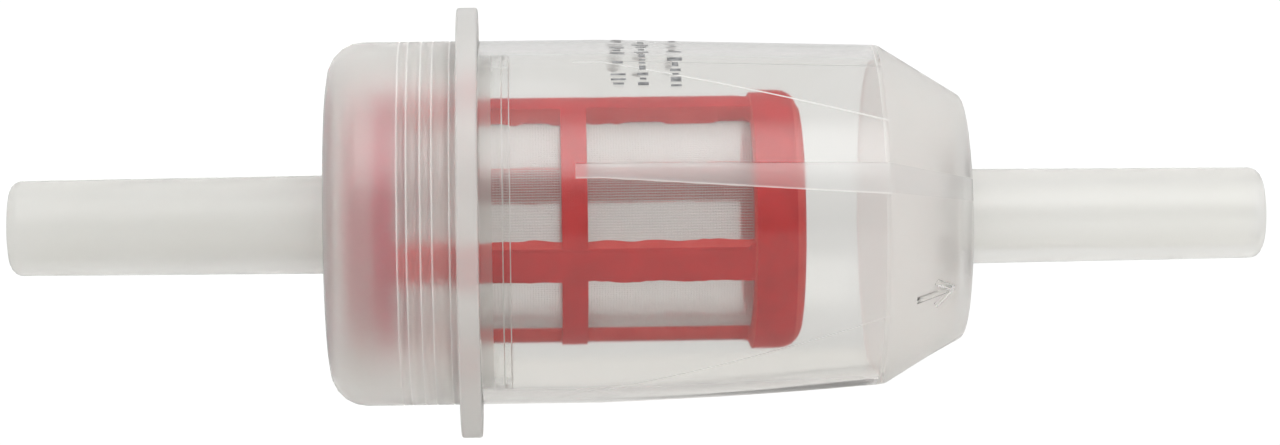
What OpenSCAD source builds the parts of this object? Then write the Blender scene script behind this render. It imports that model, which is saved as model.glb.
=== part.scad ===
// Inline fuel filter for a small engine: a milky inlet cap and a clear outlet bowl, welded at a flange,
// around a moulded cage that carries a woven screen. The flow runs along +X, from the cap to the bowl,
// and the origin is halfway between the two nipple tips, on the axis.

/* [Shells] */
// Outer diameter of the cap and of the bowl's straight wall
body_d = 26.1; // [22:0.1:32]
// Wall of the cap and of the bowl
wall = 1; // [0.8:0.1:1.4]

/* [Nipples] */
// Bore through both nipples
bore_d = 4.4; // [4.2:0.1:4.8]
// Diameter of the inlet nipple where the hose seats
inlet_seat_d = 6.8; // [6.4:0.05:8.2]
// Diameter of the outlet nipple where the hose seats
outlet_seat_d = 6.6; // [6.4:0.05:8.2]
// Length of each straight hose seat
seat_len = 16; // [10:0.5:18]
// Growth in diameter from the seat to the nipple's root
root_growth = 0.3; // [0:0.05:1]
// Length of the inlet nipple, tip to end wall
inlet_nipple_len = 22.8; // [20:0.1:28]
// Length of the outlet nipple, tip to end wall
outlet_nipple_len = 21.8; // [20:0.1:28]
// Rounding of the nipple's outer edge at the tip
tip_round = 1; // [0.3:0.1:1]
// Fillet where a nipple meets its end wall
root_fillet = 0.4; // [0.2:0.1:1]

/* [Inlet cap] */
// Length of the cap from its end wall to the flange
cap_len = 9.3; // [9:0.1:14]
// Rounding of the cap's outer corner
cap_corner = 2.6; // [1.8:0.1:3.2]
// Diameter of the weld flange
flange_d = 30.9; // [28:0.1:38]
// Thickness of the weld flange
flange_t = 1.5; // [1:0.1:3]
// Length of the skirt inside the bowl, from the flange
skirt_len = 2.2; // [1:0.1:5]
// Wall of the skirt
skirt_wall = 0.8; // [0.6:0.1:1.2]
// Gap between the skirt and the bowl, all round
skirt_gap = 0.05; // [0.02:0.01:0.2]
// Height of the ring that holds the cage's collar
socket_len = 2.5; // [1:0.1:4]
// Wall of that ring
socket_wall = 0.8; // [0.5:0.1:1]
// Gap between the ring and the collar, all round
socket_gap = 0.05; // [0.02:0.01:0.2]
// Width of each shallow groove inside the cap's wall
groove_w = 0.7; // [0.3:0.1:0.9]
// Depth of each groove
groove_depth = 0.15; // [0.05:0.05:0.3]
// Distance from one groove to the next
groove_pitch = 1.6; // [1:0.1:2]

/* [Outlet bowl] */
// Length of the bowl from the flange to its flat end
bowl_len = 34.6; // [28:0.1:45]
// Length of its straight wall, from the flange to where the taper starts
straight_len = 8.6; // [4:0.1:11]
// How far the round wall comes in along the taper
taper_in = 0.6; // [0.2:0.05:1.2]
// How far each flat comes in along the taper
flat_in = 0.95; // [0.7:0.05:1.4]
// Number of tapered flats
flat_count = 3; // [2:1:6]
// Length of the cone
cone_len = 6; // [4:0.5:10]
// Diameter of the bowl's flat end
bowl_end_d = 17.4; // [15:0.1:18]
// Chamfer round the flat end
end_chamfer = 0.5; // [0.2:0.1:1]

/* [Screen] */
// Radial space between the cage and the bowl's inside
cage_gap = 2.75; // [1.8:0.05:3]
// Free length between the cage's end and the bowl's end wall
outlet_chamber = 10.7; // [10:0.1:16]
// Length of the cage's collar
collar_len = 3.9; // [3:0.1:6]
// Width of each rib
rib_w = 2.9; // [1.5:0.1:4]
// Thickness of the ribs and rings, from the screen outwards
rib_t = 1.3; // [0.8:0.1:1.8]
// How far the collar and the end ring stand out past the ribs
ring_step = 0.3; // [0.1:0.1:0.4]
// Angle of the first rib below the horizontal
rib_turn = 19; // [0:1:45]
// Width of the middle ring
mid_ring_w = 1.8; // [1:0.1:4]
// Length of the end ring and the closed end together
cage_end_len = 3.65; // [3:0.05:6]
// Thickness of the closed end
cage_end_wall = 1; // [0.8:0.1:1.5]
// Length of the rounded shoulder of the closed end
cage_shoulder = 1.6; // [0.8:0.1:1.9]
// Thickness of the woven screen
mesh_t = 0.2; // [0.1:0.05:0.4]
// How far the screen runs into the collar and the end ring
mesh_hold = 1; // [0.5:0.1:2]

/* [Hidden] */

$fn = 96;
over = 1;          // how far a cutter runs past the faces it opens
rib_count = 4;
tip_break = 0.2;   // small chamfer inside the nipple's mouth and on the flange
reach = 4 * body_d;
flat_bite = 0.02;  // depth of the flats where they start, so that each one cuts the wall cleanly

body_r = body_d / 2;
bore_r = bore_d / 2;
inner_r = body_r - wall;
inlet_seat_r = inlet_seat_d / 2;
outlet_seat_r = outlet_seat_d / 2;
flange_r = flange_d / 2;
bowl_end_r = bowl_end_d / 2;
shoulder_r = body_r - taper_in;

// Places along the flow axis, from the inlet to the outlet
overall_len = inlet_nipple_len + cap_len + flange_t + bowl_len + outlet_nipple_len;
inlet_tip = -overall_len / 2;
cap_face = inlet_tip + inlet_nipple_len;
cap_floor = cap_face + wall;
flange_back = cap_face + cap_len;
flange_front = flange_back + flange_t;
skirt_end = flange_front + skirt_len;
outlet_tip = overall_len / 2;
bowl_face = flange_front + bowl_len;
bowl_floor = bowl_face - wall;
shoulder = bowl_face - cone_len;
taper_start = flange_front + straight_len;
taper_len = shoulder - taper_start;

skirt_r = inner_r - skirt_gap;
skirt_inner_r = skirt_r - skirt_wall;
cage_r = inner_r - cage_gap;
rib_r = cage_r - ring_step;
screen_r = rib_r - rib_t;
socket_r = cage_r + socket_gap;
cage_tip = bowl_floor - outlet_chamber;
end_ring = cage_tip - cage_end_len;
collar_end = cap_floor + collar_len;
groove_start = collar_end + 0.25;

flat_angle = atan(flat_in / taper_len);
cone_slope = (shoulder_r - bowl_end_r) / cone_len;
// The bowl's inner cone is the outer one moved in by the wall, so both walls are equally thick
cone_in = wall * (sqrt(1 + cone_slope * cone_slope) - 1) / cone_slope;

function arc(x, r, radius, from, to, steps = 8) =
    [for (i = [0:steps]) let (a = from + (to - from) * i / steps) [x + radius * cos(a), r + radius * sin(a)]];

// Turns an outline of [place along the axis, radius] points about the X axis
module turned(outline) {
    rotate([0, 90, 0]) rotate_extrude() polygon([for (p = outline) [p[1], p[0]]]);
}

// Everything outside the tapered flats, which are moved in by depth
module outside_flats(depth) {
    for (i = [0:flat_count - 1])
        rotate([180 + 360 * i / flat_count, 0, 0])
            translate([taper_start, 0, body_r - depth])
                rotate([0, flat_angle, 0])
                    translate([0, -reach / 2, 0]) cube([reach, reach, reach]);
}

// The milky shell: nipple, end wall, wall, weld flange and skirt in one turning
module inlet_cap() {
    color("gainsboro") difference() {
        turned(concat(
            [[inlet_tip, bore_r + tip_break]],
            arc(inlet_tip + tip_round, inlet_seat_r - tip_round, tip_round, 180, 90),
            [[inlet_tip + tip_round + seat_len, inlet_seat_r]],
            arc(cap_face - root_fillet, inlet_seat_r + root_growth / 2 + root_fillet, root_fillet, -90, 0, 4),
            arc(cap_face + cap_corner, body_r - cap_corner, cap_corner, 180, 90),
            [[flange_back, body_r],
             [flange_back, flange_r - tip_break],
             [flange_back + tip_break, flange_r],
             [flange_front - tip_break, flange_r],
             [flange_front, flange_r - tip_break],
             [flange_front, skirt_r],
             [skirt_end - skirt_wall / 3, skirt_r],
             [skirt_end, skirt_r - skirt_wall / 3],
             [skirt_end, skirt_inner_r],
             [flange_back, skirt_inner_r],
             [flange_back - skirt_wall, inner_r]],
            arc(cap_floor + cap_corner - wall, inner_r - cap_corner + wall, cap_corner - wall, 90, 180),
            [[cap_floor, socket_r + socket_wall],
             [cap_floor + socket_len, socket_r + socket_wall],
             [cap_floor + socket_len, socket_r],
             [cap_floor, socket_r],
             [cap_floor, bore_r],
             [inlet_tip + tip_break, bore_r]]
        ));
        for (x = [groove_start, groove_start + groove_pitch])
            turned([[x, inner_r - over], [x + groove_w, inner_r - over],
                    [x + groove_w, inner_r + groove_depth], [x, inner_r + groove_depth]]);
    }
}

// The clear shell: a turned wall, cone and nipple, with tapered flats inside and out
module outlet_bowl() {
    color("whitesmoke", 0.5) difference() {
        turned(concat(
            [[flange_front, 0],
             [flange_front, body_r],
             [taper_start, body_r],
             [shoulder, shoulder_r],
             [bowl_face - end_chamfer, bowl_end_r + end_chamfer * cone_slope],
             [bowl_face, bowl_end_r - end_chamfer / 2]],
            arc(bowl_face + root_fillet, outlet_seat_r + root_growth / 2 + root_fillet, root_fillet, 180, 270, 4),
            [[outlet_tip - tip_round - seat_len, outlet_seat_r]],
            arc(outlet_tip - tip_round, outlet_seat_r - tip_round, tip_round, 90, 0),
            [[outlet_tip, 0]]
        ));
        outside_flats(flat_bite);
        difference() {
            turned([[flange_front - over, 0],
                    [flange_front - over, inner_r],
                    [taper_start, inner_r],
                    [shoulder - cone_in, shoulder_r - wall],
                    [bowl_floor, shoulder_r - wall - (bowl_floor - shoulder + cone_in) * cone_slope],
                    [bowl_floor, 0]]);
            outside_flats(wall + flat_bite);
        }
        turned([[bowl_floor - over, 0], [bowl_floor - over, bore_r], [outlet_tip - tip_break, bore_r],
                [outlet_tip + tip_break, bore_r + 2 * tip_break], [outlet_tip + tip_break, 0]]);
    }
}

// The ribs as plain bars from the axis outwards, which the window cutter leaves standing
module rib_bars() {
    for (i = [0:rib_count - 1])
        rotate([rib_turn + 360 * i / rib_count, 0, 0])
            translate([cap_floor, -reach, -rib_w / 2]) cube([cage_tip - cap_floor, reach, rib_w]);
}

// The red moulding: a turned cup with a collar and a closed end, opened by two rows of windows
module screen_cage() {
    window_middle = (collar_end + end_ring) / 2;
    color("firebrick") difference() {
        turned(concat(
            [[cap_floor, screen_r], [cap_floor, cage_r], [collar_end, cage_r], [collar_end, rib_r],
             [end_ring, rib_r], [end_ring, cage_r]],
            arc(cage_tip - cage_shoulder, cage_r - cage_shoulder, cage_shoulder, 90, 0, 6),
            [[cage_tip, 0], [cage_tip - cage_end_wall, 0], [cage_tip - cage_end_wall, screen_r]]
        ));
        for (span = [[collar_end, window_middle - mid_ring_w / 2], [window_middle + mid_ring_w / 2, end_ring]])
            difference() {
                turned([[span[0], screen_r - over], [span[1], screen_r - over],
                        [span[1], rib_r + over], [span[0], rib_r + over]]);
                rib_bars();
            }
    }
}

// The woven sleeve, as one thin tube against the inside of the ribs
module screen_mesh() {
    color("white", 0.6)
        turned([[collar_end - mesh_hold, screen_r - mesh_t], [collar_end - mesh_hold, screen_r],
                [end_ring + mesh_hold, screen_r], [end_ring + mesh_hold, screen_r - mesh_t]]);
}

inlet_cap();
outlet_bowl();
screen_cage();
screen_mesh();
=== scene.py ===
import math
import random

import bmesh
import bpy
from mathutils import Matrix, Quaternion, Vector, noise


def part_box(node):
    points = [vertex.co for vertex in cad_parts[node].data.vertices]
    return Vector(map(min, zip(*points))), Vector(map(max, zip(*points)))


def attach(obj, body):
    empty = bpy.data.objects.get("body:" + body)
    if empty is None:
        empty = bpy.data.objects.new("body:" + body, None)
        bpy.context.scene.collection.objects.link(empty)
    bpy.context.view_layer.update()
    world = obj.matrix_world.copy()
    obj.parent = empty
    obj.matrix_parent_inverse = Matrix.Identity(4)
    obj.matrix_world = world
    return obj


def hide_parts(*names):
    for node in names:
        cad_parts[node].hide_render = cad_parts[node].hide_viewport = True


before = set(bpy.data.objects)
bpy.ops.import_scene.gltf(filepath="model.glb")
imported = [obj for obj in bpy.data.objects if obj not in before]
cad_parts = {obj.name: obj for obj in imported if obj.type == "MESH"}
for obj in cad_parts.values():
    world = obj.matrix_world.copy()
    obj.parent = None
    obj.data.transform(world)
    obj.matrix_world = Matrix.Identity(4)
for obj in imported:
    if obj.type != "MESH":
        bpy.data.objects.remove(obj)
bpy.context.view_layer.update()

# ---------------------------------------------------------------------------------------------
# Inlet cap: the milky half, natural polypropylene moulded in one shot: hose nipple, end wall,
# round wall, weld flange, and the skirt that centres the bowl. It is turned from one closed
# outline, so that its walls have their real thickness and its edges their real rounding.

MM = 0.001


def outline(corners, arc_steps=5):
    """Points of a closed outline, from corners given as (along the axis, radius, rounding) in mm."""
    points = []
    for i, (x, r, rounding) in enumerate(corners):
        here = Vector((x, r))
        if rounding == 0:
            points.append(here)
            continue
        before = (Vector(corners[i - 1][:2]) - here).normalized()
        after = (Vector(corners[(i + 1) % len(corners)][:2]) - here).normalized()
        half = before.angle(after) / 2
        centre = here + (before + after).normalized() * rounding / math.sin(half)
        start = before * rounding / math.tan(half) + here - centre
        turn = start.angle_signed(after * rounding / math.tan(half) + here - centre)
        for k in range(arc_steps + 1):
            arm = start.to_3d()
            arm.rotate(Quaternion((0, 0, 1), -turn * k / arc_steps))
            points.append(centre + arm.to_2d())
    return [p * MM for p in points]


def turned(points, steps):
    """A closed outline spun about the flow axis."""
    shell = bmesh.new()
    verts = [shell.verts.new((p.x, -p.y, 0)) for p in points]
    edges = [shell.edges.new(pair) for pair in zip(verts, verts[1:] + verts[:1])]
    bmesh.ops.spin(shell, geom=verts + edges, cent=(0, 0, 0), axis=(1, 0, 0), angle=math.tau,
                   steps=steps, use_merge=True)
    bmesh.ops.remove_doubles(shell, verts=shell.verts, dist=0.0005 * MM)
    bmesh.ops.recalc_face_normals(shell, faces=shell.faces)
    return shell


def finished(name, shell, material, node=None):
    """The mesh as a smooth piece that rides on the filter's body and stands for its CAD node."""
    for face in shell.faces:
        face.smooth = True
    mesh = bpy.data.meshes.new(name)
    shell.to_mesh(mesh)
    shell.free()
    mesh.materials.append(material)
    made = bpy.data.objects.new(name, mesh)
    bpy.context.scene.collection.objects.link(made)
    weighted = made.modifiers.new("level faces", "WEIGHTED_NORMAL")
    weighted.weight = 80
    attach(made, "root")
    if node:
        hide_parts(node)
    return made


pebble_size = 0.5
pebble_depth = 0.01


def moulded(name, colour, cloud_colour, roughness, transmission, cloud_size, pebble, ior=1.45,
            coat=0.0, coat_roughness=0.15):
    """A moulded plastic whose colour is faintly cloudy and whose skin has a fine pebble."""
    made = bpy.data.materials.new(name)
    made.use_nodes = True
    nodes, links = made.node_tree.nodes, made.node_tree.links
    shader = nodes["Principled BSDF"]
    shader.inputs["Transmission Weight"].default_value = transmission
    shader.inputs["IOR"].default_value = ior
    shader.inputs["Coat Weight"].default_value = coat
    shader.inputs["Coat Roughness"].default_value = coat_roughness
    shader.inputs["Roughness"].default_value = roughness
    place = nodes.new("ShaderNodeTexCoord")
    cloud = nodes.new("ShaderNodeTexNoise")
    cloud.inputs["Scale"].default_value = 1 / (cloud_size * MM)
    cloud.inputs["Detail"].default_value = 4
    links.new(place.outputs["Object"], cloud.inputs["Vector"])
    tint = nodes.new("ShaderNodeValToRGB")
    tint.color_ramp.elements[0].position = 0.35
    tint.color_ramp.elements[0].color = (*cloud_colour, 1)
    tint.color_ramp.elements[1].position = 0.65
    tint.color_ramp.elements[1].color = (*colour, 1)
    links.new(cloud.outputs["Fac"], tint.inputs["Fac"])
    links.new(tint.outputs["Color"], shader.inputs["Base Color"])
    skin = nodes.new("ShaderNodeTexNoise")
    skin.inputs["Scale"].default_value = 1 / (pebble_size * MM)
    skin.inputs["Detail"].default_value = 2
    links.new(place.outputs["Object"], skin.inputs["Vector"])
    bump = nodes.new("ShaderNodeBump")
    bump.inputs["Strength"].default_value = pebble
    bump.inputs["Distance"].default_value = pebble_depth * MM
    links.new(skin.outputs["Fac"], bump.inputs["Height"])
    links.new(bump.outputs["Normal"], shader.inputs["Normal"])
    return made


inlet_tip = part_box("inlet_cap")[0].x / MM
skirt_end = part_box("inlet_cap")[1].x / MM
flange_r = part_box("inlet_cap")[1].z / MM
body_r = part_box("outlet_bowl")[1].z / MM
flange_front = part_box("outlet_bowl")[0].x / MM
cap_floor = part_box("screen_cage")[0].x / MM
wall = 1.0
flange_thick = 1.5
bore_r = 2.2
inlet_tip_r = 3.4
inlet_root_r = 3.53
skirt_gap = 0.05
skirt_wall = 0.8
flange_step = 0.8
socket_r = 9.35
socket_wall = 0.8
socket_len = 2.5
inner_r = body_r - wall
cap_face = cap_floor - wall
flange_back = flange_front - flange_thick
skirt_r = inner_r - skirt_gap
skirt_inner_r = skirt_r - skirt_wall
skirt_start = flange_back + 0.3
skirt_root_end = flange_front + 0.9
cap_columns = 192
# A hair's breadth, which tells on which side of an edge a face or a point lies.
hair = 0.02

# Fine whitened lines run round the cap, near the flange, and round the skirt and its tip.
line_depth = 0.03
line_half = 0.045
line_slope = 0.02
line_floor_from = line_depth * 0.3
line_floor_to = line_depth * 1.2
cap_lines = (-17.0, -16.35, -15.4, -14.6, -13.4)
cap_lines_start = cap_lines[0] - 0.2
skirt_line = skirt_end - 0.55
skirt_tip_line = skirt_end - 0.07


def witness_line(x, radius):
    """Corners of a fine groove that runs round a turned wall."""
    return [
        (x - line_half - line_slope, radius, 0),
        (x - line_half, radius - line_depth, 0),
        (x + line_half, radius - line_depth, 0),
        (x + line_half + line_slope, radius, 0),
    ]


cap_outline = [
    (inlet_tip, bore_r, 0.2),
    (inlet_tip, inlet_tip_r, 0.9),
    (cap_face, inlet_root_r, 0.35),
    (cap_face, body_r, 2.6),
    *(corner for x in cap_lines for corner in witness_line(x, body_r)),
    (flange_back, body_r, 0.15),
    (flange_back, flange_r, 0.2),
    (flange_front, flange_r, 0.2),
    (flange_front, skirt_r, 0.1),
    (skirt_root_end, skirt_r, 0),
    *witness_line(skirt_line, skirt_r),
    (skirt_end, skirt_r, 0.12),
    (skirt_end, skirt_inner_r, 0.15),
    (skirt_root_end, skirt_inner_r, 0),
    (flange_front, skirt_inner_r, 0),
    (flange_back, skirt_inner_r, 0.5),
    (flange_back - flange_step, inner_r, 0.3),
    (cap_floor, inner_r, 1.6),
    (cap_floor, socket_r + socket_wall, 0.2),
    (cap_floor + socket_len, socket_r + socket_wall, 0.15),
    (cap_floor + socket_len, socket_r, 0.15),
    (cap_floor, socket_r, 0.1),
    (cap_floor, bore_r, 0.3),
]
milky = moulded("milky polypropylene", (0.992, 0.992, 0.975), (0.975, 0.975, 0.955),
                roughness=0.64, transmission=0.93, cloud_size=6, pebble=0.2, ior=1.22,
                coat=0.8, coat_roughness=0.3)
# The weld flange's plastic scatters more in its thick rim, and its colour is darker than the cap's as
# painted shade.
milky_flange = moulded("milky polypropylene in the weld flange", (0.87, 0.87, 0.855),
                       (0.85, 0.85, 0.83), roughness=0.5, transmission=0.5, cloud_size=6,
                       pebble=0.2, ior=1.35, coat=0.3, coat_roughness=0.3)
milky_thick = moulded("milky polypropylene in the nipple", (0.93, 0.93, 0.915),
                      (0.91, 0.91, 0.89), roughness=0.6, transmission=0.82, cloud_size=6,
                      pebble=0.2, ior=1.3, coat=0.3, coat_roughness=0.3)
# Whiter, more diffuse plastic: the whitened lines of the cap and skirt, and painted highlight on the
# bowl's bright lines and on the cone's inner corners.
whitening_and_highlight = moulded("whitened line and painted highlight in the plastic", (0.99, 0.99, 0.975), (0.98, 0.98, 0.96),
                   roughness=0.5, transmission=0.5, cloud_size=6, pebble=0.0, ior=1.15)
see_through = moulded("thin end of the skirt", (0.998, 0.998, 0.995), (0.99, 0.99, 0.985),
                      roughness=0.05, transmission=1.0, cloud_size=6, pebble=0.0, ior=1.04)
skirt_root = moulded("hazy root of the skirt", (0.99, 0.99, 0.98), (0.98, 0.98, 0.965),
                     roughness=0.4, transmission=0.9, cloud_size=6, pebble=0.0, ior=1.08)
cap = turned(outline(cap_outline), cap_columns)
inlet_cap = finished("inlet_cap_shell", cap, milky, "inlet_cap")
cap_plastics = [milky, milky_thick, whitening_and_highlight, see_through, skirt_root, milky_flange]
for extra in cap_plastics[1:]:
    inlet_cap.data.materials.append(extra)
for face in inlet_cap.data.polygons:
    x = face.center.x / MM
    from_axis = face.center.yz.length / MM
    in_cap_line = (line_floor_from < body_r - from_axis < line_floor_to
                   and cap_lines_start < x < flange_back)
    in_skirt_line = abs(x - skirt_line) < line_half and from_axis > skirt_r - line_floor_to
    on_skirt = x > skirt_start and from_axis < skirt_r + hair
    plastic = milky
    if x < cap_face - hair:
        plastic = milky_thick
    # The flange gets the plastic with the darker colour of painted shade.
    elif from_axis > body_r + hair:
        plastic = milky_flange
    elif in_cap_line or on_skirt and (x > skirt_tip_line or in_skirt_line):
        plastic = whitening_and_highlight
    elif on_skirt:
        plastic = see_through if x > skirt_root_end else skirt_root
    face.material_index = cap_plastics.index(plastic)

# ---------------------------------------------------------------------------------------------
# Outlet bowl: the clear half, so that dirt shows. It is moulded with a straight wall, a slight
# taper, a cone, a flat end and the outlet nipple, and is welded to the flange. Shallow flats and
# shut-off lines of the mould run down the taper; strips of painted highlight and shade draw the lines.

outlet_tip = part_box("outlet_bowl")[1].x / MM
outlet_nipple_len = 21.8
outlet_tip_r = 3.27
outlet_root_r = 3.42
cone_len = 6.0
straight_len = 8.6
taper_drop = 0.6
bowl_end_r = 8.7
bowl_face = outlet_tip - outlet_nipple_len
shoulder = bowl_face - cone_len
taper_start = flange_front + straight_len
shoulder_r = body_r - taper_drop
cone_inner_start = shoulder - 0.3
cone_inner_end_r = bowl_end_r - 0.65
# Between the skin of the nipple and that of the bowl, which it tells apart.
outside_nipple_r = 5
lines_start = taper_start - 1.9
taper_stations = 24


def down_taper(depth):
    """Plain points down the tapered wall, so that the flats can grow along it."""
    step = (shoulder - taper_start) / taper_stations
    return [(taper_start + step * i, body_r - depth + (shoulder_r - body_r) * i / taper_stations, 0)
            for i in range(taper_stations)]


bowl_outline = [
    (flange_front, inner_r, 0.1),
    (flange_front, body_r, 0.15),
    (lines_start, body_r, 0),
    *down_taper(0),
    (shoulder, shoulder_r, 1.0),
    (bowl_face, bowl_end_r, 0.6),
    (bowl_face, outlet_root_r, 0.35),
    (outlet_tip, outlet_tip_r, 0.85),
    (outlet_tip, bore_r, 0.2),
    (bowl_face - wall, bore_r, 0.3),
    (bowl_face - wall, cone_inner_end_r, 0.35),
    (cone_inner_start, shoulder_r - wall, 0.4),
    *reversed(down_taper(wall)),
]

# The lines down the taper, in degrees up from the front: where a line starts, where it is at the
# shoulder, where it ends on the bowl's end, and what the skin is like from it up to the next one.
# The bright and faint skins are painted highlight, the hazy one a grey band of painted shade, and
# the dark one a line of painted shade: they stand in for the light caught by the lines and flats.
lines = [
    (-90.4, -108, -108, "plain"),
    (-89.6, -72, -72, "plain"),
    (-66.0, -33.4, -29.6, "faint"),
    (-65.6, -33.0, -29.2, "plain"),
    (13.0, 7.3, 6.6, "bright"),
    (13.5, 7.8, 7.1, "hazy"),
    (17.5, 17.5, 17.5, "faint"),
    (17.8, 17.8, 17.8, "plain"),
    (58.7, 32.3, 37.5, "bright"),
    (59.2, 32.9, 38.1, "plain"),
    (59.4, 58.4, 58.4, "painted_shade_line"),
    (59.6, 58.9, 58.9, "plain"),
]
# The bands, each counted from its lower line, that are flattened, and how far: 1 is quite flat.
flats = {0: 1.0, 7: 0.2}
front_band = 3
bowl_columns = 288


def line_angle(line, x):
    """Where a line of the taper is at a place along the axis."""
    if x < shoulder:
        share = max(0.0, (x - taper_start) / (shoulder - taper_start))
        return line[0] + (line[1] - line[0]) * share
    share = min(1.0, (x - shoulder) / (bowl_face - shoulder))
    return line[1] + (line[2] - line[1]) * share


def flattened(x, band, share, width, radius):
    """The radius of the bowl's skin once the band's flat is cut in it, fading out over the cone."""
    if band not in flats:
        return radius
    fade = 1 - min(1.0, max(0.0, (x - shoulder) / (bowl_face - shoulder)))
    chord = math.cos(math.radians(width / 2)) / math.cos(math.radians(width * (share - 0.5)))
    return radius * (1 + (chord - 1) * flats[band] * fade)


# Each band gets its share of the columns, and the front band takes what rounding leaves over.
# A column then follows its place between two lines, so that the mesh's edges lie along them.
bowl = turned(outline(bowl_outline), bowl_columns)
shares = []
for i, low in enumerate(lines):
    span = (lines[(i + 1) % len(lines)][1] - low[1]) % 360
    shares.append(max(1, round(bowl_columns * span / 360)))
shares[front_band] += bowl_columns - sum(shares)
columns = [(i, k / count) for i, count in enumerate(shares) for k in range(count)]
for vert in bowl.verts:
    radius = math.hypot(vert.co.y, vert.co.z) / MM
    if radius < outside_nipple_r:
        continue
    turn = math.degrees(math.atan2(vert.co.z, -vert.co.y)) % 360
    i, share = columns[round(turn * bowl_columns / 360) % bowl_columns]
    x = vert.co.x / MM
    start = line_angle(lines[i], x)
    width = (line_angle(lines[(i + 1) % len(lines)], x) - start) % 360
    angle = start + width * share
    if x > taper_start - hair:
        radius = flattened(x, i, share, width, radius)
    radius *= MM
    vert.co.y = -radius * math.cos(math.radians(angle))
    vert.co.z = radius * math.sin(math.radians(angle))
clear = moulded("clear bowl plastic", (0.975, 0.975, 0.965), (0.96, 0.96, 0.945),
                roughness=0.08, transmission=0.985, cloud_size=9, pebble=0.1, ior=1.2,
                coat=1.0, coat_roughness=0.16)
clear_thick = moulded("clear bowl plastic, frosted", (0.99, 0.99, 0.975), (0.98, 0.98, 0.96),
                      roughness=0.45, transmission=0.84, cloud_size=9, pebble=0.1, ior=1.12,
                      coat=0.6, coat_roughness=0.3)
clear_inside = moulded("clear bowl plastic, inner skin", (0.975, 0.975, 0.965),
                       (0.96, 0.96, 0.945), roughness=0.12, transmission=0.985, cloud_size=9,
                       pebble=0.1, ior=1.2)
# A grey band of painted shade along a flat, darker and hazier than the clear plastic round it.
hazy = moulded("grey band of painted shade in the clear plastic", (0.90, 0.905, 0.895), (0.87, 0.875, 0.865),
               roughness=0.3, transmission=0.80, cloud_size=3, pebble=0.1, ior=1.2,
               coat=1.0, coat_roughness=0.2)
# A faint line of painted highlight.
faint = moulded("faint painted highlight in the clear plastic", (0.97, 0.97, 0.96), (0.95, 0.95, 0.94),
                roughness=0.4, transmission=0.9, cloud_size=3, pebble=0.0, ior=1.2)
# A darker line of painted shade along one of the mould's shut-off lines.
painted_shade_line = moulded("painted shade on a shut-off line of the mould", (0.62, 0.62, 0.61), (0.7, 0.7, 0.69),
               roughness=0.4, transmission=0.85, cloud_size=3, pebble=0.0, ior=1.2)
outlet_bowl = finished("outlet_bowl_shell", bowl, clear, "outlet_bowl")
skins = {"plain": clear, "frosted": clear_thick, "bright": whitening_and_highlight, "inside": clear_inside,
         "hazy": hazy, "faint": faint, "painted_shade_line": painted_shade_line}
for extra in list(skins.values())[1:]:
    outlet_bowl.data.materials.append(extra)
# The cone, the end and the nipple are frosted, and the cone's two inner corners get a painted
# highlight.
frost_start = shoulder - 0.15
inner_corners = [(shoulder - 0.45, frost_start), (bowl_face - wall - 0.35, bowl_face - wall - 0.03)]
for face in outlet_bowl.data.polygons:
    x = face.center.x / MM
    inward = face.normal.yz.dot(face.center.yz) < 0
    turn = math.degrees(math.atan2(face.center.z, -face.center.y))
    skin = "plain"
    if x > lines_start and face.center.yz.length > outside_nipple_r * MM and not inward:
        for low, high in zip(lines, lines[1:] + lines[:1]):
            start = line_angle(low, x)
            if (turn - start) % 360 < (line_angle(high, x) - start) % 360:
                skin = low[3]
    if inward and any(corner_from < x < corner_to for corner_from, corner_to in inner_corners):
        skin = "bright"
    elif x > frost_start and skin != "hazy":
        skin = "frosted"
    elif inward:
        skin = "inside"
    face.material_index = list(skins).index(skin)

# ---------------------------------------------------------------------------------------------
# Flow arrow: a plain mark that shows which way the fuel runs. It is raised on the cone in the
# bowl's own plastic: a shaft and two barbs, laid out flat and then wrapped round the cone.

arrow_x = 20.3
arrow_turn = -31.0
arrow_rise = 0.14
arrow_root = -0.1
shaft = ((1.3, 0.2), (0, 0), 0)
barbs = [((0.8, 0.2), (0.75, side * 0.45), side * -38) for side in (1, -1)]
arrow = bmesh.new()
for (half_length, half_width), centre, turn in (shaft, *barbs):
    bar = bmesh.ops.create_grid(arrow, x_segments=6, y_segments=1, size=1)["verts"]
    bmesh.ops.scale(arrow, verts=bar, vec=(half_length, half_width, 1))
    spin_bar = Quaternion((0, 0, 1), math.radians(turn)).to_matrix()
    bmesh.ops.rotate(arrow, verts=bar, cent=(0, 0, 0), matrix=spin_bar)
    bmesh.ops.translate(arrow, verts=bar, vec=(*centre, 0))
raised = bmesh.ops.extrude_face_region(arrow, geom=arrow.faces[:])["geom"]
raised_verts = [g for g in raised if isinstance(g, bmesh.types.BMVert)]
bmesh.ops.translate(arrow, verts=raised_verts, vec=(0, 0, 1))
for vert in arrow.verts:
    x = arrow_x + vert.co.x
    height = arrow_rise if vert.co.z > 0.5 else arrow_root
    radius = shoulder_r + (bowl_end_r - shoulder_r) * (x - shoulder) / (bowl_face - shoulder) + height
    angle = math.radians(arrow_turn) + vert.co.y / radius
    vert.co = Vector((x, -radius * math.cos(angle), radius * math.sin(angle))) * MM
bmesh.ops.recalc_face_normals(arrow, faces=arrow.faces)
finished("flow_arrow", arrow, clear)

# ---------------------------------------------------------------------------------------------
# Printing: three rows of plain grey dashes round the top of the bowl, where such a filter has its
# type printed. They are a thin film of ink, pad printed on the clear plastic.

print_rows = (-1.56, 0.17, 2.47)
print_start = 46.0
print_end = 118
row_shifts = (0, 3)
dash_widths = (1.0, 1.5, 2.4)
dash_gaps = (0.9, 1.6)
dash_reaches = (0.45, 0.75, 1.05)
printed_share = 0.8
ink_height = 0.01

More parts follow.
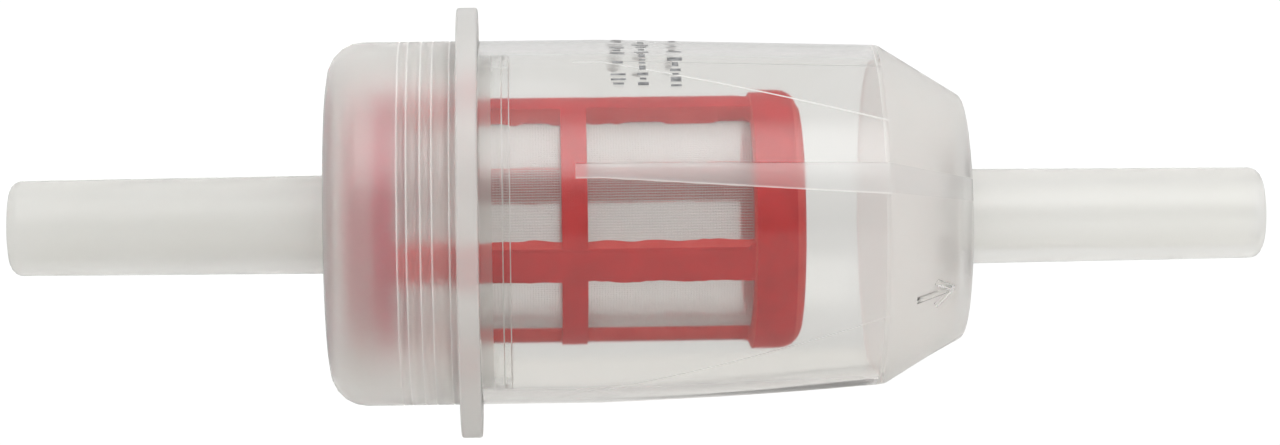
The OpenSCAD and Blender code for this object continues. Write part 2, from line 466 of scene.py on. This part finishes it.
random.seed(4)
printing = bmesh.new()
for row_x in print_rows:
    drop = (shoulder_r - body_r) * max(0, row_x - taper_start) / (shoulder - taper_start)
    radius = body_r + drop + ink_height
    angle = print_start + random.uniform(*row_shifts)
    while angle < print_end:
        width = random.choice(dash_widths)
        if random.random() < printed_share:
            reach = random.choice(dash_reaches)
            start = math.radians(angle)
            made = []
            for side in (-0.5, 0, 0.5):
                place = (row_x + side * reach, -radius * math.cos(start), radius * math.sin(start))
                made.append(printing.verts.new(Vector(place) * MM))
            edges = [printing.edges.new(pair) for pair in zip(made, made[1:])]
            bmesh.ops.spin(printing, geom=made + edges, cent=(0, 0, 0), axis=(-1, 0, 0),
                           angle=math.radians(width), steps=3)
        angle += width + random.uniform(*dash_gaps)
bmesh.ops.recalc_face_normals(printing, faces=printing.faces)
ink = moulded("grey print ink", (0.13, 0.135, 0.14), (0.34, 0.345, 0.35), roughness=0.5,
              transmission=0.0, cloud_size=0.4, pebble=0.2)
finished("printed_dashes", printing, ink)

# ---------------------------------------------------------------------------------------------
# Screen cage: red polypropylene moulded over the screen in one piece. A collar sits in the cap's
# socket; four ribs, a middle ring and a closed end leave eight windows. The ribs slope in on one
# side, and flash makes their edges a little wavy.

cage_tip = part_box("screen_cage")[1].x / MM
collar_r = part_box("screen_cage")[1].z / MM
rib_step = 0.3
ring_step = 0.15
rib_r = collar_r - rib_step
ring_r = rib_r - ring_step
screen_r = 7.7
collar_len = 3.9
closed_end_len = 3.65
collar_end = cap_floor + collar_len
end_ring = cage_tip - closed_end_len
end_wall = 1.0
end_rounding = 1.6
step_slope = 0.15
axis_r = 0.001
windows_middle = (collar_end + end_ring) / 2
ring_half = 0.9
cage_columns = 160
rib_columns = 8
rib_count = 4
rib_spacing = 360 / rib_count
rib_turn = -19.0
rib_draft = 3.2
rib_steps = 26
sharp_turn = 50
edge_rounding = 0.12
# Faces that turn further from outward than this get a lighter red as painted light.
lit_side_facing = 0.85
# Inside the cage's wall, and between the wall's inner and outer skin; a hair's breadth in degrees.
wall_inside_r = 7
wall_middle_r = 8
hair_turn = 0.1

window_ends = [(collar_end, windows_middle - ring_half), (windows_middle + ring_half, end_ring)]
rib_stations = [low + (high - low) * i / rib_steps for low, high in window_ends
                for i in range(rib_steps + 1)]
cage_outline = [
    (cap_floor, screen_r, 0.15),
    (cap_floor, collar_r, 0.25),
    (collar_end - step_slope, collar_r, 0),
    *((x, rib_r, 0) for x in rib_stations),
    (end_ring + step_slope, collar_r, 0),
    (cage_tip, collar_r, end_rounding),
    (cage_tip, axis_r, 0),
    (cage_tip - end_wall, axis_r, 0),
    (cage_tip - end_wall, screen_r, 0.5),
    (end_ring + step_slope, screen_r, 0),
    *((x, screen_r, 0) for x in reversed(rib_stations)),
]
cage = turned(outline(cage_outline), cage_columns)
to_first_rib = Quaternion((-1, 0, 0), math.radians(rib_turn)).to_matrix()
bmesh.ops.rotate(cage, verts=cage.verts, cent=(0, 0, 0), matrix=to_first_rib)
# The points round the axis become one on each face of the end.
at_axis = [v for v in cage.verts if math.hypot(v.co.y, v.co.z) < 10 * axis_r * MM]
bmesh.ops.remove_doubles(cage, verts=at_axis, dist=20 * axis_r * MM)


def rib_offset(co):
    """How far a point of the cage lies from the middle of the nearest rib, in degrees."""
    turn = math.degrees(math.atan2(co.z, -co.y)) - rib_turn
    return (turn + rib_spacing / 2) % rib_spacing - rib_spacing / 2


def flash(x, offset, rib):
    """How far the flash on a rib's edge reaches, in degrees: long waves with small ones on them."""
    long_waves = noise.noise(Vector((x * 0.45, offset, rib * 7.3))) * 1.1
    return long_waves + noise.noise(Vector((x * 2.5, offset, rib))) * 0.5


def lift(x, offset, rib):
    """How far the inner edge of a rib stands off the screen, in mm."""
    return max(0, 0.15 + noise.noise(Vector((x * 0.55, rib * 5.3 + 0.4, offset))) * 0.9)


# The windows are cut out of the wall, and each cut is bridged from the outer skin to the inner.
half_rib = rib_columns / 2 * 360 / cage_columns
for window_low, window_high in window_ends:
    for quarter in range(rib_count):
        middle = math.radians(rib_turn + rib_spacing / 2 + rib_spacing * quarter)
        toward = Vector((0, -math.cos(middle), math.sin(middle)))
        faces = []
        for face in cage.faces:
            centre = face.calc_center_median()
            if (window_low * MM < centre.x < window_high * MM
                    and centre.yz.length > wall_inside_r * MM
                    and centre.dot(toward) > 0 and abs(rib_offset(centre)) > half_rib
                    and Vector((0, centre.y, centre.z)).angle(toward) < math.radians(rib_spacing / 2)):
                faces.append(face)
        edges = {e for f in faces for e in f.edges}
        rim = [e for e in edges if sum(f in faces for f in e.link_faces) == 1]
        bmesh.ops.delete(cage, geom=faces, context="FACES")
        bmesh.ops.bridge_loops(cage, edges=rim)

# The middle ring is set back from the ribs, and the ribs' edges get their slope and their flash.
for vert in cage.verts:
    x = vert.co.x / MM
    offset = rib_offset(vert.co)
    radius = vert.co.yz.length
    if radius < wall_inside_r * MM:
        continue
    outer = radius > wall_middle_r * MM
    on_ring = abs(x - windows_middle) < ring_half + hair and abs(offset) > half_rib + hair_turn
    on_rib_edge = collar_end + hair < x < end_ring - hair and abs(abs(offset) - half_rib) < hair_turn
    if on_ring and outer:
        vert.co.y, vert.co.z = (vert.co.yz * (ring_r * MM / radius)).to_tuple()
    elif on_rib_edge:
        rib = round((math.degrees(math.atan2(vert.co.z, -vert.co.y)) - rib_turn) / rib_spacing)
        draft = -rib_draft if outer and offset > 0 else 0
        stray = math.radians(flash(x, offset, rib) + draft)
        vert.co.rotate(Quaternion((-1, 0, 0), stray))
        if not outer:
            vert.co.y, vert.co.z = (vert.co.yz * (1 + lift(x, offset, rib) * MM / radius)).to_tuple()
bmesh.ops.recalc_face_normals(cage, faces=cage.faces)
sharp = [e for e in cage.edges if e.is_manifold and e.calc_face_angle() > math.radians(sharp_turn)]
bmesh.ops.bevel(cage, geom=sharp, affect="EDGES", offset=edge_rounding * MM, segments=2, profile=0.5,
                material=-1, clamp_overlap=True)
red = moulded("red polypropylene", (0.80, 0.016, 0.020), (0.70, 0.012, 0.015),
              roughness=0.6, transmission=0.3, cloud_size=1.5, pebble=0.6, ior=1.3)
red_collar = moulded("red polypropylene in the thick collar", (0.62, 0.016, 0.075),
                     (0.54, 0.012, 0.06), roughness=0.6, transmission=0.2, cloud_size=1.5,
                     pebble=0.6, ior=1.3)
screen_cage = finished("screen_cage_moulding", cage, red, "screen_cage")
# A lighter red painted on the sides of the ribs, rings and end, as the light they catch.
red_lit_side = moulded("red polypropylene painted lighter on side faces", (0.92, 0.085, 0.075), (0.86, 0.06, 0.055),
                   roughness=0.6, transmission=0.3, cloud_size=1.5, pebble=0.6, ior=1.3)
cage_plastics = [red, red_collar, red_lit_side]
for extra in cage_plastics[1:]:
    screen_cage.data.materials.append(extra)
# The collar gets its own red, and the side faces get the lighter red of painted light.
for face in screen_cage.data.polygons:
    outward = abs(face.normal.yz.dot(face.center.yz.normalized()))
    plastic = red
    if face.center.x < collar_end * MM:
        plastic = red_collar
    elif outward < lit_side_facing and face.center.yz.length > screen_r * MM:
        plastic = red_lit_side
    face.material_index = cage_plastics.index(plastic)

# ---------------------------------------------------------------------------------------------
# Screen: a sleeve of white nylon threads inside the ribs, which are moulded over it. The warp
# runs along the filter, and the weft goes round outside it, fused where they cross.

thread_pitch = 0.195
warp_thread_r = 0.036
weft_thread_r = 0.02
warp_count = 244
weft_sides = 72
sleeve_gap = 0.02
screen_low, screen_high = (corner.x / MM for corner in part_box("screen_mesh"))
weft_r = screen_r - sleeve_gap - weft_thread_r
warp_r = weft_r - weft_thread_r - warp_thread_r

weave = bmesh.new()
along = Quaternion((0, 1, 0), math.radians(90)).to_matrix()
warp = bmesh.ops.create_circle(weave, cap_ends=True, segments=4, radius=warp_thread_r * MM)["verts"]
bmesh.ops.rotate(weave, verts=warp, cent=(0, 0, 0), matrix=along)
bmesh.ops.translate(weave, verts=warp, vec=Vector((screen_low, -warp_r, 0)) * MM)
bmesh.ops.spin(weave, geom=weave.verts[:] + weave.edges[:] + weave.faces[:], cent=(0, 0, 0),
               axis=(1, 0, 0), angle=math.tau * (warp_count - 1) / warp_count,
               steps=warp_count - 1, use_duplicate=True)
ends = bmesh.ops.extrude_face_region(weave, geom=weave.faces[:], use_keep_orig=True)["geom"]
bmesh.ops.translate(weave, verts=[g for g in ends if isinstance(g, bmesh.types.BMVert)],
                    vec=((screen_high - screen_low) * MM, 0, 0))
weft = []
weft_count = int((screen_high - screen_low) / thread_pitch)
for i in range(weft_count):
    thread_place = Vector((screen_low + (i + 0.5) * thread_pitch, -weft_r, 0)) * MM
    ring = bmesh.ops.create_circle(weave, segments=3, radius=weft_thread_r * MM)["verts"]
    bmesh.ops.translate(weave, verts=ring, vec=thread_place)
    weft += ring
weft += list({e for v in weft for e in v.link_edges})
bmesh.ops.spin(weave, geom=weft, cent=(0, 0, 0), axis=(1, 0, 0), angle=math.tau, steps=weft_sides,
               use_merge=True)
bmesh.ops.recalc_face_normals(weave, faces=weave.faces)
nylon = moulded("white nylon thread", (1.0, 0.975, 0.965), (0.99, 0.96, 0.95), roughness=0.5,
                transmission=0.7, cloud_size=2, pebble=0.0, ior=1.08)
finished("screen_weave", weave, nylon, "screen_mesh")

# ---------------------------------------------------------------------------------------------
# Studio: a round pale floor well below the filter, which glows faintly in its middle, a bright
# surround, one large soft box above, and the camera square to the filter's side.

floor_r = 0.2
floor_depth = 0.03
glow_r = 0.04
glow_end_r = 0.14
glow_strength = 0.1
bpy.context.scene.view_settings.view_transform = "Standard"
floor_mesh = bmesh.new()
bmesh.ops.create_circle(floor_mesh, cap_ends=True, segments=128, radius=floor_r)
bmesh.ops.translate(floor_mesh, verts=floor_mesh.verts, vec=(0, 0, -floor_depth))
floor_data = bpy.data.meshes.new("floor")
floor_mesh.to_mesh(floor_data)
floor_mesh.free()
floor = bpy.data.objects.new("floor", floor_data)
bpy.context.scene.collection.objects.link(floor)
pale = bpy.data.materials.new("pale floor")
pale.use_nodes = True
nodes, links = pale.node_tree.nodes, pale.node_tree.links
shader = nodes["Principled BSDF"]
shader.inputs["Base Color"].default_value = (0.70, 0.69, 0.67, 1)
shader.inputs["Roughness"].default_value = 0.9
shader.inputs["Specular IOR Level"].default_value = 0.1
shader.inputs["Emission Color"].default_value = (1, 1, 1, 1)
place = nodes.new("ShaderNodeTexCoord")
away = nodes.new("ShaderNodeVectorMath")
away.operation = "LENGTH"
glow = nodes.new("ShaderNodeMapRange")
glow.inputs["From Min"].default_value = glow_r
glow.inputs["From Max"].default_value = glow_end_r
glow.inputs["To Min"].default_value = glow_strength
glow.inputs["To Max"].default_value = 0.0
links.new(place.outputs["Object"], away.inputs[0])
links.new(away.outputs["Value"], glow.inputs["Value"])
links.new(glow.outputs["Result"], shader.inputs["Emission Strength"])
floor_data.materials.append(pale)

# The surround lights the filter less from below than from above. On the camera's side it has two
# round patches: a dim one low down and a bright one higher up. Each is given as the elevation of
# its middle, the half angles where it ends and where it is full, and its change in strength.
patches = ((-6, 40, 18, -0.40), (46, 26, 6, 3.1))
below_strength = 0.66
above_strength = 0.78
horizon_half = 0.12
backdrop_strength = 1.05
world = bpy.data.worlds.new("studio surround")
bpy.context.scene.world = world
world.use_nodes = True
nodes, links = world.node_tree.nodes, world.node_tree.links
nodes.clear()
ray = nodes.new("ShaderNodeLightPath")
place = nodes.new("ShaderNodeTexCoord")
changes = []
for elevation, ends_at, full_at, change in patches:
    up = math.radians(elevation)
    toward = nodes.new("ShaderNodeVectorMath")
    toward.operation = "DOT_PRODUCT"
    toward.inputs[1].default_value = (0, -math.cos(up), math.sin(up))
    links.new(place.outputs["Generated"], toward.inputs[0])
    patch = nodes.new("ShaderNodeMapRange")
    patch.interpolation_type = "SMOOTHSTEP"
    patch.inputs["From Min"].default_value = math.cos(math.radians(ends_at))
    patch.inputs["From Max"].default_value = math.cos(math.radians(full_at))
    patch.inputs["To Max"].default_value = change
    links.new(toward.outputs["Value"], patch.inputs["Value"])
    changes.append(patch)
both_changes = nodes.new("ShaderNodeMath")
both_changes.operation = "ADD"
links.new(changes[0].outputs["Result"], both_changes.inputs[0])
links.new(changes[1].outputs["Result"], both_changes.inputs[1])
height = nodes.new("ShaderNodeSeparateXYZ")
links.new(place.outputs["Generated"], height.inputs[0])
horizon = nodes.new("ShaderNodeMapRange")
horizon.interpolation_type = "SMOOTHSTEP"
horizon.inputs["From Min"].default_value = -horizon_half
horizon.inputs["From Max"].default_value = horizon_half
horizon.inputs["To Min"].default_value = below_strength
horizon.inputs["To Max"].default_value = above_strength
links.new(height.outputs["Z"], horizon.inputs["Value"])
strength = nodes.new("ShaderNodeMath")
strength.operation = "ADD"
links.new(both_changes.outputs[0], strength.inputs[0])
links.new(horizon.outputs["Result"], strength.inputs[1])
around = nodes.new("ShaderNodeBackground")
around.inputs["Color"].default_value = (1, 0.995, 0.985, 1)
links.new(strength.outputs[0], around.inputs["Strength"])
behind = nodes.new("ShaderNodeBackground")
behind.inputs["Color"].default_value = (1, 1, 1, 1)
behind.inputs["Strength"].default_value = backdrop_strength
pick = nodes.new("ShaderNodeMixShader")
out = nodes.new("ShaderNodeOutputWorld")
links.new(ray.outputs["Is Camera Ray"], pick.inputs["Fac"])
links.new(around.outputs[0], pick.inputs[1])
links.new(behind.outputs[0], pick.inputs[2])
links.new(pick.outputs[0], out.inputs["Surface"])

box_side = 0.8
box_light = bpy.data.lights.new("soft box", "AREA")
box_light.shape = "RECTANGLE"
box_light.size = box_side
box_light.size_y = box_side
box_light.energy = 1.2
soft_box = bpy.data.objects.new("soft box", box_light)
bpy.context.scene.collection.objects.link(soft_box)
soft_box.location = (-0.3, -0.1, 0.9)
soft_box.rotation_mode = "QUATERNION"
soft_box.rotation_quaternion = Vector(soft_box.location).to_track_quat("Z", "Y")

camera_distance = 0.266
camera_aside = 8.6
camera_roll = math.radians(0.75)
view_width = 0.09216
aim = Vector((0.09, 0, -0.14)) * MM
camera_data = bpy.data.cameras.new("camera")
camera = bpy.data.objects.new("camera", camera_data)
bpy.context.scene.collection.objects.link(camera)
bpy.context.scene.camera = camera
camera.location = aim + Vector((-camera_aside * MM, -camera_distance, 0))
camera_data.lens = camera_data.sensor_width * camera_distance / view_width
camera_data.clip_start = 0.01
camera.rotation_mode = "QUATERNION"
level_view = (aim - camera.location).to_track_quat("-Z", "Y")
camera.rotation_quaternion = level_view @ Quaternion((0, 0, 1), -camera_roll)
